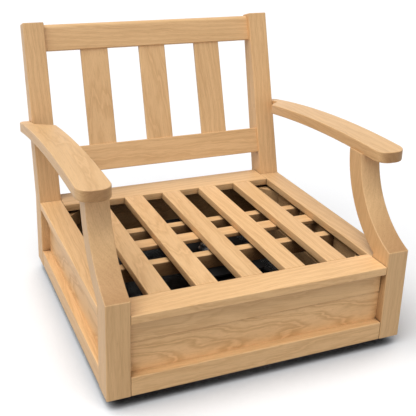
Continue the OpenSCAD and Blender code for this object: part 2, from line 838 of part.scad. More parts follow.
placed() base_arm_1();
placed() base_arm_2();
placed() base_arm_3();
placed() base_arm_4();
placed() floor_ring();
placed() glides();
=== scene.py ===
"""Looks of the swivel club chair: eased boards, their grain, the steel swivel and the studio."""

import logging
import math
import random
from dataclasses import dataclass, field
from enum import Enum

import bmesh
import bpy
from mathutils import Matrix, Vector


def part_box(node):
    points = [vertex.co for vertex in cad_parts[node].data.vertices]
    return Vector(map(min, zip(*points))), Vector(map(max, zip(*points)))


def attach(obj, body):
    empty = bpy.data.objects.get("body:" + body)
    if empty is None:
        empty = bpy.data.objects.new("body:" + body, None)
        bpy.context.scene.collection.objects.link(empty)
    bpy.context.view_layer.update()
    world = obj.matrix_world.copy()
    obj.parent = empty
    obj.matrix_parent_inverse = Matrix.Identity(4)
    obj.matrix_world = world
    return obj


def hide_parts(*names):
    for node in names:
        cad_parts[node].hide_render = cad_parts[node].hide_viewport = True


log = logging.getLogger("chair")

Colour = tuple[float, float, float, float]
Stops = tuple[tuple[float, Colour], ...]
Point = tuple[float, float, float]
Outline = list[tuple[float, float]]

CHAIR = "chair"
IMAGE_PX = 416
MM_PER_M = 1000
CUT_TOLERANCE = 1e-6
WHITE: Colour = (1.0, 1.0, 1.0, 1.0)

# Blender's ring wave turns once in 2 pi / 20 of a metre at a scale of 1.
WAVE_RATE = 20

# How strongly the growth rings show on a board that isn't picked for its figure.
PLAIN_FIGURE = 0.35

# Where a board was cut: the tree's heart lies this far off along, beside and below it, in metres,
# and is tilted by up to this angle.
HEART_ALONG = 2.0
HEART_BESIDE = (0.06, 0.16)
HEART_BELOW = (0.06, 0.20)
HEART_TILT_DEG = 4.0


# Sizes


@dataclass(frozen=True)
class ChairPlan:
    """Driving sizes of the chair in metres.

    Places are given as the builder of the chair measures them: x from the middle to the right,
    y from the front faces of the front posts backwards, and z from the lower edge of the boxed
    base.
    """

    frame_w: float = 0.720
    seat_d: float = 0.626
    deck_h: float = 0.190
    deck_t: float = 0.020
    front_post_w: float = 0.053
    front_post_d: float = 0.060
    crease_rise: float = 0.035
    sweep_r: float = 0.217
    blade_t: float = 0.049
    sweep_lead: float = 0.073
    back_post_w: float = 0.057
    back_post_d: float = 0.061
    back_post_rise: float = 0.460
    post_lean: float = math.radians(16.3)
    tip_t: float = 0.0398
    post_taper: float = 0.001
    back_extra_lean: float = math.radians(1.4)
    back_set: float = 0.0033
    arm_t: float = 0.0265
    arm_crest_rise: float = 0.2505
    arm_crest_y: float = 0.178
    arm_arch_r: float = 3.050
    upper_rail_h: float = 0.052
    lower_rail_h: float = 0.0457
    upper_rail_set: float = 0.0186
    upper_rail_t: float = 0.020
    lower_rail_set: float = 0.001

    @property
    def half_w(self) -> float:
        """Half the width over the posts."""
        return self.frame_w / 2

    @property
    def front_in(self) -> float:
        """Distance from the middle to the inner face of a front post."""
        return self.half_w - self.front_post_w

    @property
    def back_in(self) -> float:
        """Distance from the middle to the inner face of a back post at the deck."""
        return self.half_w - self.back_post_w

    @property
    def back_rear(self) -> float:
        """Place of the rear faces of the back posts below the deck."""
        return self.seat_d + self.back_post_d

    @property
    def box_inner(self) -> float:
        """Depth from a post's outer face to the inner face of the box's rails."""
        return self.upper_rail_set + self.upper_rail_t

    @property
    def deck_under(self) -> float:
        """Height of the underside of the seat deck."""
        return self.deck_h - self.deck_t

    @property
    def post_tip(self) -> tuple[float, float]:
        """Place (y, z) of the front upper corner of a back post."""
        return (
            self.seat_d + self.back_post_rise * math.tan(self.post_lean),
            self.deck_h + self.back_post_rise,
        )

    @property
    def post_tip_rear(self) -> tuple[float, float]:
        """Place (y, z) of the rear upper corner of a back post."""
        y, z = self.post_tip
        return (
            y + self.tip_t * math.cos(self.post_lean),
            z - self.tip_t * math.sin(self.post_lean),
        )

    @property
    def sweep_centre(self) -> tuple[float, float]:
        """Place (y, z) of the centre of the front posts' sweep."""
        return (
            -self.sweep_lead,
            self.deck_h + self.crease_rise + math.sqrt(self.sweep_r**2 - self.sweep_lead**2),
        )

    def arm_top(self, y: float) -> float:
        """The height of the arched top of an arm at the place y."""
        drop = self.arm_arch_r - math.sqrt(self.arm_arch_r**2 - (y - self.arm_crest_y) ** 2)
        return self.deck_h + self.arm_crest_rise - drop

    def placed(self) -> Matrix:
        """The move from the builder's places to the frame, which stands centred on the floor."""
        low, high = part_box("back_post_right")
        return Matrix.Translation((0.0, high.y - self.post_tip_rear[0], low.z))

    def back_plane(self) -> Matrix:
        """The turn and move that lay a piece on the leaning plane of the back."""
        lean = Matrix.Rotation(-(self.post_lean + self.back_extra_lean), 4, "X")
        return Matrix.Translation((0.0, self.seat_d + self.back_set, self.deck_h)) @ lean


# Finishes


class Grain(Enum):
    """Direction in which the grain of a wooden piece runs."""

    ACROSS = "x"
    DEPTH = "y"
    UPRIGHT = "z"
    LEANING = "lean"

    def axis(self, lean: float) -> Point:
        """The direction of the grain in a board with the given lean."""
        return {
            Grain.ACROSS: (1.0, 0.0, 0.0),
            Grain.DEPTH: (0.0, 1.0, 0.0),
            Grain.UPRIGHT: (0.0, 0.0, 1.0),
            Grain.LEANING: (0.0, math.sin(lean), math.cos(lean)),
        }[self]

    def turn(self, lean: float) -> Point:
        """The turn that lays the grain of a board with the given lean along x."""
        return {
            Grain.ACROSS: (0.0, 0.0, 0.0),
            Grain.DEPTH: (0.0, 0.0, math.radians(90)),
            Grain.UPRIGHT: (0.0, math.radians(90), 0.0),
            Grain.LEANING: (lean, math.radians(90), 0.0),
        }[self]


def srgb(hex_colour: str) -> Colour:
    """Turns an sRGB hex colour to linear light.

    Args:
        hex_colour: six hex digits, with or without a leading #.

    Returns:
        Linear red, green and blue, and an alpha of 1.
    """
    digits = hex_colour.lstrip("#")
    channels = [int(digits[i : i + 2], 16) / 255 for i in (0, 2, 4)]
    linear = [c / 12.92 if c <= 0.04045 else ((c + 0.055) / 1.055) ** 2.4 for c in channels]
    return (linear[0], linear[1], linear[2], 1.0)


def shade(colour: Colour, factor: float) -> Colour:
    """Lightens or darkens a linear colour by a factor."""
    return (colour[0] * factor, colour[1] * factor, colour[2] * factor, 1.0)


def add_node(
    tree: bpy.types.NodeTree, kind: str, links: dict[str | int, object] | None = None,
    **settings: object,
) -> bpy.types.Node:
    """Adds a node with its settings and links.

    Args:
        tree: the node tree that gets the node.
        kind: Blender's name of the node type.
        links: input name or index to an output socket that feeds it, or to a plain value.
        settings: attributes of the node.

    Returns:
        The new node.
    """
    node = tree.nodes.new(kind)
    for name, value in settings.items():
        setattr(node, name, value)
    for name, source in (links or {}).items():
        if isinstance(source, bpy.types.NodeSocket):
            tree.links.new(source, node.inputs[name])
        else:
            node.inputs[name].default_value = source
    return node


def new_material(name: str) -> tuple[bpy.types.Material, bpy.types.NodeTree, bpy.types.Node]:
    """Makes an empty material.

    Args:
        name: the material's name.

    Returns:
        The material, its node tree and its Principled shader.
    """
    material = bpy.data.materials.new(name)
    material.use_nodes = True
    tree = material.node_tree
    return material, tree, tree.nodes["Principled BSDF"]


def set_ramp(node: bpy.types.Node, stops: Stops) -> None:
    """Gives a Color Ramp node its stops.

    Args:
        node: the Color Ramp node.
        stops: the stops, as place and linear colour.
    """
    ramp = node.color_ramp
    while len(ramp.elements) < len(stops):
        ramp.elements.new(0.5)
    for element, (place, colour) in zip(ramp.elements, stops):
        element.position = place
        element.color = colour


def toned(
    tree: bpy.types.NodeTree, colour: bpy.types.NodeSocket, measure: bpy.types.NodeSocket,
    stops: Stops,
) -> bpy.types.NodeSocket:
    """Tones a colour down by as much as a measure says.

    Args:
        tree: the material's node tree.
        colour: the colour at full strength.
        measure: a value from 0 to 1 that differs from place to place.
        stops: how much of the colour each value of the measure leaves.

    Returns:
        The toned colour.
    """
    share = add_node(tree, "ShaderNodeValToRGB", {"Fac": measure})
    set_ramp(share, stops)
    return add_node(
        tree, "ShaderNodeMix", {"Factor": 1.0, 6: colour, 7: share.outputs["Color"]},
        data_type="RGBA", blend_type="MULTIPLY",
    ).outputs[2]


@dataclass(frozen=True)
class Cut:
    """Where in the tree a board was cut: the place and the tilt of the tree's heart next to it."""

    heart: Point
    tilt: Point

    @classmethod
    def from_seed(cls, seed: int) -> "Cut":
        """Chooses a board's place in the tree.

        Args:
            seed: the number that the choice hangs on.

        Returns:
            The cut, the same one for the same seed.
        """
        chance = random.Random(seed)
        return cls(
            (
                chance.uniform(-HEART_ALONG, HEART_ALONG),
                chance.choice((-1, 1)) * chance.uniform(*HEART_BESIDE),
                chance.choice((-1, 1)) * chance.uniform(*HEART_BELOW),
            ),
            (
                0.0,
                math.radians(chance.uniform(-HEART_TILT_DEG, HEART_TILT_DEG)),
                math.radians(chance.uniform(-HEART_TILT_DEG, HEART_TILT_DEG)),
            ),
        )


@dataclass(frozen=True)
class OiledHardwood:
    """Oiled plantation hardwood, planed and sanded: pale honey, satin, with soft growth rings.

    Planing a board cuts through the tree's rings, which show as faint arches, and through its
    fibres, which show as fine irregular streaks along the grain. Sanding and oil leave a satin
    skin, and the sawn ends soak up more oil and are darker. Boards differ a little in tone.
    """

    early: str = "#e8bf8c"
    late: str = "#c69661"
    pore: str = "#ba8a58"
    end_grain: Colour = (0.60, 0.52, 0.44, 1.0)
    roughness: float = 0.46
    gloss_spread: tuple[float, float] = (-0.05, 0.07)
    refraction: float = 1.47

    # A ring is as wide as a flat-sawn face shows it. Real fibres and pores are a few tenths of a
    # millimetre wide, too fine for the picture, so they are drawn as coarse as it takes to show.
    ring_mm: float = 13.0
    fibre_mm: float = 2.6
    fibre_length: float = 110.0
    pore_mm: float = 0.9
    pore_length: float = 40.0
    band_mm: float = 38.0
    band_length: float = 9.0

    # The rings bend once in about 450 mm along a board, and once in about 90 mm across it.
    bends_per_m: Point = (2.2, 11.0, 11.0)
    bend: float = 0.045

    # Painted shade darkens the colour in joints, creases and corners, and inside the box, where the
    # bare wood gets little light.
    nook_mm: float = 9.0
    inside_mm: float = 350.0

    fibre_stops: Stops = (
        (0.32, (0.90, 0.87, 0.83, 1.0)), (0.50, (0.99, 0.985, 0.98, 1.0)),
        (0.70, (1.03, 1.03, 1.03, 1.0)),
    )
    band_stops: Stops = ((0.30, (0.93, 0.90, 0.86, 1.0)), (0.70, (1.03, 1.02, 1.01, 1.0)))
    pore_stops: Stops = ((0.60, (0.0, 0.0, 0.0, 1.0)), (0.74, (0.45, 0.45, 0.45, 1.0)))
    nook_painted_shade_stops: Stops = ((0.14, (0.14, 0.09, 0.055, 1.0)), (0.52, WHITE))
    inside_painted_shade_stops: Stops = (
        (0.08, (0.06, 0.04, 0.025, 1.0)), (0.20, (0.30, 0.23, 0.17, 1.0)),
        (0.28, (0.62, 0.55, 0.49, 1.0)), (0.38, WHITE),
    )

    def along_grain(
        self, tree: bpy.types.NodeTree, space: bpy.types.NodeSocket, width_mm: float,
        length: float, detail: float, rough: float,
    ) -> bpy.types.NodeSocket:
        """A noise that is drawn out along the grain.

        Args:
            tree: the material's node tree.
            space: the places in the log, in metres.
            width_mm: the width of a streak across the grain.
            length: how many times as long as wide a streak is.
            detail: the number of finer layers in the noise.
            rough: how strongly the finer layers show.

        Returns:
            The noise, from 0 to 1.
        """
        across = MM_PER_M / width_mm
        drawn = add_node(
            tree, "ShaderNodeMapping",
            {"Vector": space, "Scale": (across / length, across, across)}, vector_type="POINT",
        ).outputs[0]
        return add_node(
            tree, "ShaderNodeTexNoise",
            {"Vector": drawn, "Scale": 1.0, "Detail": detail, "Roughness": rough},
        ).outputs["Fac"]

    def rings(self, tree: bpy.types.NodeTree, space: bpy.types.NodeSocket) -> bpy.types.NodeSocket:
        """The growth rings round the heart of the tree, bent a little.

        Args:
            tree: the material's node tree.
            space: the places in the log, in metres.

        Returns:
            The place between early and late wood, from 0 to 1.
        """
        bends = add_node(
            tree, "ShaderNodeMapping", {"Vector": space, "Scale": self.bends_per_m},
            vector_type="POINT",
        ).outputs[0]
        wobble = add_node(
            tree, "ShaderNodeTexNoise",
            {"Vector": bends, "Scale": 1.0, "Detail": 4.0, "Roughness": 0.6},
        ).outputs["Color"]
        bent = add_node(
            tree, "ShaderNodeMix", {"Factor": self.bend, 4: space, 5: wobble}, data_type="VECTOR"
        ).outputs[1]
        return add_node(
            tree, "ShaderNodeTexWave",
            {
                "Vector": bent,
                "Scale": 2 * math.pi / (WAVE_RATE * self.ring_mm / MM_PER_M),
                "Distortion": 1.2,
                "Detail": 3.0,
                "Detail Scale": 0.8,
            },
            wave_type="RINGS", rings_direction="X", wave_profile="SIN",
        ).outputs["Fac"]

    def planed(
        self, tree: bpy.types.NodeTree, space: bpy.types.NodeSocket,
        fibres: bpy.types.NodeSocket, tone: float, figure: float,
    ) -> bpy.types.NodeSocket:
        """The colour of a planed face: rings, fibres, broad bands of tone and open pores.

        Args:
            tree: the material's node tree.
            space: the places in the log, in metres.
            fibres: the noise of the fibres.
            tone: how light the board is next to its neighbours.
            figure: how strongly the rings show, from 0 to 1.

        Returns:
            The colour.
        """
        early, late, pore = (shade(srgb(c), tone) for c in (self.early, self.late, self.pore))
        ring = tuple(a + (b - a) * figure for a, b in zip(early, late))
        ring_ramp = add_node(tree, "ShaderNodeValToRGB", {"Fac": self.rings(tree, space)})
        set_ramp(ring_ramp, ((0.0, early), (0.30, early), (0.92, ring), (1.0, early)))
        wood = toned(tree, ring_ramp.outputs["Color"], fibres, self.fibre_stops)
        bands = self.along_grain(tree, space, self.band_mm, self.band_length, 3.0, 0.55)
        wood = toned(tree, wood, bands, self.band_stops)
        pores = self.along_grain(tree, space, self.pore_mm, self.pore_length, 2.0, 0.5)
        pore_ramp = add_node(tree, "ShaderNodeValToRGB", {"Fac": pores})
        set_ramp(pore_ramp, self.pore_stops)
        return add_node(
            tree, "ShaderNodeMix", {"Factor": pore_ramp.outputs["Color"], 6: wood, 7: pore},
            data_type="RGBA",
        ).outputs[2]

    def make(
        self, name: str, grain: Grain, cut: Cut, tone: float, figure: float, lean: float
    ) -> bpy.types.Material:
        """Makes the finish of one board.

        Args:
            name: the material's name.
            grain: the direction of the grain.
            cut: where in the tree the board was cut.
            tone: how light this board is next to its neighbours.
            figure: how strongly the rings show, from 0 to 1.
            lean: the lean of the board, where its grain leans.

        Returns:
            The board's material.
        """
        material, tree, shader = new_material(name)
        coordinates = add_node(tree, "ShaderNodeTexCoord")
        along = add_node(
            tree, "ShaderNodeMapping",
            {"Vector": coordinates.outputs["Object"], "Rotation": grain.turn(lean)},
            vector_type="POINT",
        ).outputs[0]
        space = add_node(
            tree, "ShaderNodeMapping",
            {"Vector": along, "Location": cut.heart, "Rotation": cut.tilt}, vector_type="POINT",
        ).outputs[0]
        fibres = self.along_grain(tree, space, self.fibre_mm, self.fibre_length, 4.0, 0.6)
        wood = self.planed(tree, space, fibres, tone, figure)
        facing = add_node(
            tree, "ShaderNodeVectorMath",
            {0: coordinates.outputs["Normal"], 1: grain.axis(lean)}, operation="DOT_PRODUCT",
        ).outputs["Value"]
        squarely = add_node(tree, "ShaderNodeMath", {0: facing}, operation="ABSOLUTE").outputs[0]
        wood = toned(tree, wood, squarely, ((0.55, WHITE), (0.95, self.end_grain)))
        # Painted shade: darkens the colour in joints and creases, and deeply inside the box.
        for reach_mm, stops in (
            (self.nook_mm, self.nook_painted_shade_stops), (self.inside_mm, self.inside_painted_shade_stops),
        ):
            open_side = add_node(
                tree, "ShaderNodeAmbientOcclusion", {"Distance": reach_mm / MM_PER_M}, samples=8
            ).outputs["AO"]
            wood = toned(tree, wood, open_side, stops)
        tree.links.new(wood, shader.inputs["Base Color"])
        gloss = add_node(
            tree, "ShaderNodeMapRange",
            {
                "Value": fibres,
                "From Min": 0.3,
                "From Max": 0.7,
                "To Min": self.roughness + self.gloss_spread[0],
                "To Max": self.roughness + self.gloss_spread[1],
            },
        ).outputs[0]
        tree.links.new(gloss, shader.inputs["Roughness"])
        shader.inputs["IOR"].default_value = self.refraction
        relief = add_node(
            tree, "ShaderNodeBump", {"Height": fibres, "Strength": 0.10, "Distance": 0.0004}
        ).outputs["Normal"]
        tree.links.new(relief, shader.inputs["Normal"])
        return material


@dataclass(frozen=True)
class PowderCoat:
    """Black powder-coated steel: a matt skin with the fine orange peel of a baked coat."""

    colour: str = "#0c0b0b"
    scuffed: float = 1.3
    peel_mm: float = 1.2
    # One scuffed patch in about 29 mm.
    scuffs_per_m: float = 35.0
    roughness: float = 0.60
    gloss_spread: tuple[float, float] = (-0.08, 0.14)
    refraction: float = 1.50
    # The matting agent in the coat leaves it less shine than plain plastic, which has 0.5.
    specular: float = 0.30

    def make(self, name: str) -> bpy.types.Material:
        """Makes the coat.

        Args:
            name: the material's name.

        Returns:
            The coat's material.
        """
        material, tree, shader = new_material(name)
        where = add_node(tree, "ShaderNodeTexCoord").outputs["Object"]
        peel = add_node(
            tree, "ShaderNodeTexNoise",
            {"Vector": where, "Scale": MM_PER_M / self.peel_mm, "Detail": 2.0},
        ).outputs["Fac"]
        scuffs = add_node(
            tree, "ShaderNodeTexNoise",
            {"Vector": where, "Scale": self.scuffs_per_m, "Detail": 5.0},
        ).outputs["Fac"]
        tint = add_node(tree, "ShaderNodeValToRGB", {"Fac": scuffs})
        black = srgb(self.colour)
        set_ramp(tint, ((0.35, black), (0.75, shade(black, self.scuffed))))
        tree.links.new(tint.outputs["Color"], shader.inputs["Base Color"])
        gloss = add_node(
            tree, "ShaderNodeMapRange",
            {
                "Value": scuffs,
                "To Min": self.roughness + self.gloss_spread[0],
                "To Max": self.roughness + self.gloss_spread[1],
            },
        ).outputs[0]
        tree.links.new(gloss, shader.inputs["Roughness"])
        shader.inputs["IOR"].default_value = self.refraction
        shader.inputs["Specular IOR Level"].default_value = self.specular
        relief = add_node(
            tree, "ShaderNodeBump", {"Height": peel, "Strength": 0.15, "Distance": 0.0003}
        ).outputs["Normal"]
        tree.links.new(relief, shader.inputs["Normal"])
        return material


@dataclass(frozen=True)
class TurnedMetal:
    """Zinc-plated steel or bronze, turned or stamped: a soft metal shine with fine tool marks."""

    colour: str
    dulled: float = 0.82
    mark_mm: float = 0.8
    mark_squash: Point = (1.0, 1.0, 6.0)
    roughness: float = 0.34
    gloss_spread: tuple[float, float] = (-0.06, 0.10)

    def make(self, name: str) -> bpy.types.Material:
        """Makes the metal.

        Args:
            name: the material's name.

        Returns:
            The metal's material.
        """
        material, tree, shader = new_material(name)
        shader.inputs["Metallic"].default_value = 1.0
        where = add_node(tree, "ShaderNodeTexCoord").outputs["Object"]
        flat = add_node(
            tree, "ShaderNodeMapping", {"Vector": where, "Scale": self.mark_squash},
            vector_type="POINT",
        ).outputs[0]
        marks = add_node(
            tree, "ShaderNodeTexNoise",
            {"Vector": flat, "Scale": MM_PER_M / self.mark_mm, "Detail": 3.0},
        ).outputs["Fac"]
        tint = add_node(tree, "ShaderNodeValToRGB", {"Fac": marks})
        bright = srgb(self.colour)
        set_ramp(tint, ((0.3, shade(bright, self.dulled)), (0.7, bright)))
        tree.links.new(tint.outputs["Color"], shader.inputs["Base Color"])
        gloss = add_node(
            tree, "ShaderNodeMapRange",
            {
                "Value": marks,
                "To Min": self.roughness + self.gloss_spread[0],
                "To Max": self.roughness + self.gloss_spread[1],
            },
        ).outputs[0]
        tree.links.new(gloss, shader.inputs["Roughness"])
        return material


@dataclass(frozen=True)
class MouldedNylon:
    """Natural nylon, moulded: off-white, waxy, with a faint mottling."""

    colour: str = "#e2ded2"
    mottled: float = 0.9
    # One mottled patch in about 5 mm.
    mottles_per_m: float = 220.0
    roughness: float = 0.5
    refraction: float = 1.50

    def make(self, name: str) -> bpy.types.Material:
        """Makes the nylon.

        Args:
            name: the material's name.

        Returns:
            The nylon's material.
        """
        material, tree, shader = new_material(name)
        where = add_node(tree, "ShaderNodeTexCoord").outputs["Object"]
        mottle = add_node(
            tree, "ShaderNodeTexNoise",
            {"Vector": where, "Scale": self.mottles_per_m, "Detail": 3.0},
        ).outputs["Fac"]
        tint = add_node(tree, "ShaderNodeValToRGB", {"Fac": mottle})
        pale = srgb(self.colour)
        set_ramp(tint, ((0.3, shade(pale, self.mottled)), (0.7, pale)))
        tree.links.new(tint.outputs["Color"], shader.inputs["Base Color"])
        shader.inputs["Roughness"].default_value = self.roughness
        shader.inputs["IOR"].default_value = self.refraction
        return material


# Making pieces


@dataclass
class Workshop:
    """Makes boards, eases their edges and fits them over the nodes that they stand for."""

    plan: ChairPlan
    hardwood: OiledHardwood = field(default_factory=OiledHardwood)
    ease: float = 0.0022
    ease_steps: int = 3
    first_seed: int = 40
    seed_step: int = 7
    made: int = 0

    def board(self, low: Point, high: Point) -> bmesh.types.BMesh:
        """Makes a straight board.

        Args:
            low: its lowest corner.
            high: its highest corner.

        Returns:
            The board as a bmesh.
        """
        shape = bmesh.new()
        bmesh.ops.create_cube(shape, size=1.0)
        size = Vector(high) - Vector(low)
        bmesh.ops.scale(shape, vec=size, verts=shape.verts)
        bmesh.ops.translate(shape, vec=Vector(low) + size / 2, verts=shape.verts)
        return shape

    def across(self, outline: Outline, x: float, width: float) -> bmesh.types.BMesh:
        """Draws a side outline out across the chair.

        Args:
            outline: its (y, z) points in order.
            x: the place where the shape starts.
            width: how far to the right it goes.

        Returns:
            The closed shape as a bmesh.
        """
        shape = bmesh.new()
        face = shape.faces.new([shape.verts.new((x, y, z)) for y, z in outline])
        grown = bmesh.ops.extrude_face_region(shape, geom=[face])["geom"]
        bmesh.ops.translate(
            shape, vec=(width, 0, 0), verts=[v for v in grown if isinstance(v, bmesh.types.BMVert)]
        )
        return shape

    def ease_edges(
        self, shape: bmesh.types.BMesh, radius: float, sharper_than: float = 30.0
    ) -> None:
        """Rounds the sharp edges of a shape.

        Args:
            shape: the shape.
            radius: the radius of the rounding.
            sharper_than: the angle in degrees above which an edge is rounded.
        """
        bmesh.ops.recalc_face_normals(shape, faces=shape.faces)
        limit = math.radians(sharper_than)
        edges = [e for e in shape.edges if len(e.link_faces) == 2 and e.calc_face_angle() > limit]
        bmesh.ops.bevel(
            shape,
            geom=edges,
            offset=radius,
            offset_type="OFFSET",
            segments=self.ease_steps,
            profile=0.5,
            affect="EDGES",
            clamp_overlap=True,
            material=-1,
        )

    def fit(
        self, shape: bmesh.types.BMesh, node: str, grain: Grain, tone: float,
        move: Matrix | None = None, slot: str = "hardwood", ease: float | None = None,
        figure: float = PLAIN_FIGURE,
    ) -> None:
        """Eases a shape, gives it its grain and lets it stand for a node of the frame.

        Args:
            shape: the piece as a bmesh, in the builder's places.
            node: the node of the frame that it stands for.
            grain: the direction of its grain.
            tone: how light this board is.
            move: a turn or move before the piece is placed.
            slot: a material slot for the piece; not used.
            ease: the radius of its eased edges, where it isn't the usual one.
            figure: how strongly its rings show, from 0 to 1.
        """
        self.ease_edges(shape, self.ease if ease is None else ease)
        if move is not None:
            bmesh.ops.transform(shape, matrix=move, verts=shape.verts)
        bmesh.ops.transform(shape, matrix=self.plan.placed(), verts=shape.verts)
        bmesh.ops.recalc_face_normals(shape, faces=shape.faces)
        mesh = bpy.data.meshes.new(node + "_eased")
        shape.to_mesh(mesh)
        shape.free()
        for polygon in mesh.polygons:
            polygon.use_smooth = True
        piece = bpy.data.objects.new(node + "_eased", mesh)
        bpy.context.scene.collection.objects.link(piece)
        smoothing = piece.modifiers.new("flat_faces", "WEIGHTED_NORMAL")
        smoothing.keep_sharp = True
        piece.data.materials.append(self.board_finish(node, grain, tone, figure))
        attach(piece, CHAIR)
        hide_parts(node)

    def board_finish(
        self, node: str, grain: Grain, tone: float, figure: float = PLAIN_FIGURE,
        cut: Cut | None = None,
    ) -> bpy.types.Material:
        """Makes a finish of its own for one board, cut from its own place in the tree.

        Args:
            node: the node of the frame that the board stands for.
            grain: the direction of its grain.
            tone: how light this board is.
            figure: how strongly its rings show, from 0 to 1.
            cut: where in the tree it was cut, where that is chosen.

        Returns:
            The board's material.
        """
        self.made += 1
        lean = self.plan.post_lean if grain is Grain.LEANING else 0.0
        cut = cut or Cut.from_seed(self.first_seed + self.seed_step * self.made)
        return self.hardwood.make(node + "_hardwood", grain, cut, tone, figure, lean)


def mirrored(shape: bmesh.types.BMesh) -> bmesh.types.BMesh:
    """Copies a shape to the other side of the chair.

    Args:
        shape: the shape on one side.

    Returns:
        Its mirror image.
    """
    twin = shape.copy()
    bmesh.ops.transform(twin, matrix=Matrix.Scale(-1, 4, (1, 0, 0)), verts=twin.verts)
    bmesh.ops.reverse_faces(twin, faces=twin.faces)
    return twin


def arc(
    centre: tuple[float, float], radius: float, start: float, end: float, steps: int
) -> Outline:
    """Points of a round stretch of an outline.

    Args:
        centre: the arc's centre.
        radius: its radius.
        start: the angle of its first point, in radians.
        end: the angle of its last point, in radians.
        steps: the number of stretches between them.

    Returns:
        The points, the two ends included.
    """
    return [
        (
            centre[0] + radius * math.cos(start + (end - start) * i / steps),
            centre[1] + radius * math.sin(start + (end - start) * i / steps),
        )
        for i in range(steps + 1)
    ]


# Sub-assemblies


@dataclass
class SweptFrontPosts:
    """The two front posts: a block below, and a blade swept between two concentric arcs above."""

    shop: Workshop
    sweep_steps: int = 28
    into_arm: float = 0.004
    right_tone: float = 0.90
    left_tone: float = 0.93
    figure: float = 0.2

    def outline(self) -> Outline:
        """Draws a post from the side.

        Returns:
            Its (y, z) points in order.
        """
        plan = self.shop.plan
        centre = plan.sweep_centre
        top = plan.arm_top(plan.arm_crest_y) - plan.arm_t + self.into_arm
        rear_r = plan.sweep_r + plan.blade_t
        rear_start = -math.acos((plan.front_post_d - centre[0]) / rear_r)
        rear_end = math.asin((top - centre[1]) / rear_r)
        front_start = math.asin((top - centre[1]) / plan.sweep_r)
        front_end = -math.acos(-centre[0] / plan.sweep_r)
        return [
            (0.0, 0.0),
            (plan.front_post_d, 0.0),
            *arc(centre, rear_r, rear_start, rear_end, self.sweep_steps),
            *arc(centre, plan.sweep_r, front_start, front_end, self.sweep_steps),
        ]

    def build(self) -> None:
        """Makes both posts."""
        plan = self.shop.plan
        right = self.shop.across(self.outline(), plan.front_in, plan.front_post_w)
        left = mirrored(right)
        for name, shape, tone in (
            ("front_post_right", right, self.right_tone), ("front_post_left", left, self.left_tone),
        ):
            self.shop.fit(shape, name, Grain.UPRIGHT, tone, figure=self.figure)
        log.info("front posts: blocks with swept blades")


@dataclass
class LeaningBackPosts:
    """The two back posts: upright below the deck, leaning and tapering above it."""

    shop: Workshop
    left_tone: float = 0.95
    right_tone: float = 0.99

    def build(self) -> None:
        """Makes both posts."""
        plan = self.shop.plan
        shape = bmesh.new()
        knee_front = shape.verts.new((plan.back_in, plan.seat_d, plan.deck_h))
        knee_rear = shape.verts.new((plan.back_in, plan.back_rear, plan.deck_h))
        foot = [shape.verts.new((plan.back_in, y, 0.0)) for y in (plan.seat_d, plan.back_rear)]
        tips = (plan.post_tip_rear, plan.post_tip)
        tip = [shape.verts.new((plan.back_in, y, z)) for y, z in tips]
        faces = [
            shape.faces.new([foot[0], foot[1], knee_rear, knee_front]),
            shape.faces.new([knee_front, knee_rear, tip[0], tip[1]]),
        ]
        grown = bmesh.ops.extrude_face_region(shape, geom=faces, use_keep_orig=True)["geom"]
        outer = {v for v in grown if isinstance(v, bmesh.types.BMVert)}
        bmesh.ops.translate(shape, vec=(plan.back_post_w, 0, 0), verts=list(outer))
        for vert in shape.verts:
            if vert not in outer and vert.co.z > plan.deck_h:
                vert.co.x += plan.post_taper * (vert.co.z - plan.deck_h) / plan.back_post_rise
        left = mirrored(shape)
        self.shop.fit(left, "back_post_left", Grain.LEANING, self.left_tone)
        self.shop.fit(shape, "back_post_right", Grain.LEANING, self.right_tone)
        log.info("back posts: knee at the deck, tapering tips")


